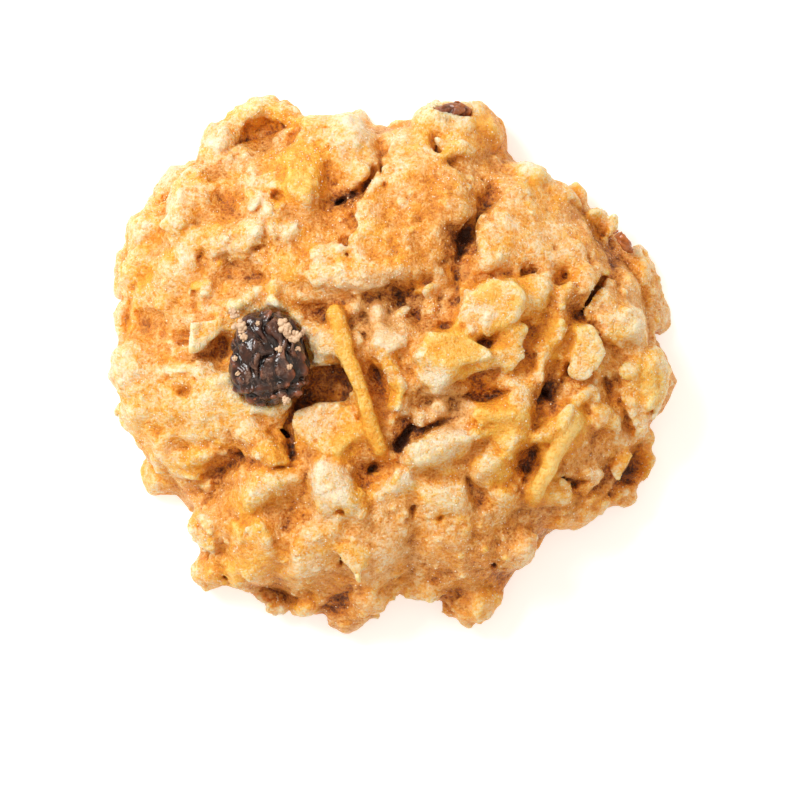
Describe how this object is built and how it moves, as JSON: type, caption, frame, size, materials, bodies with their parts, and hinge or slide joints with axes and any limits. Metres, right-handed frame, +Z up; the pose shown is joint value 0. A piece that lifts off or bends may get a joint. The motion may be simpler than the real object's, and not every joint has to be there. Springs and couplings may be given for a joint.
{
  "type": "oatmeal raisin cookie",
  "caption": "Craggy domed oatmeal cookie with a flat base, flakes of oat standing out of its top, and raisins set in the dough.",
  "frame": {"origin": "on the surface that the cookie rests on, under the middle of its outline", "axes": "+Z up out of the domed top, +X to the right and +Y away as the cookie is seen from above with its large raisin at the left"},
  "size_m": [0.0708, 0.0662, 0.0195],
  "materials": {
    "dough": "baked oat dough, matte and crumbly, golden to cream with browned edges and pits",
    "raisin": "wrinkled dark raisin skin, dark brown and slightly glossy on its folds"
  },
  "bodies": {
    "root": {"cookie": "dough", "raisin_1": "raisin", "raisin_2": "raisin", "raisin_3": "raisin"}
  },
  "joints": []
}
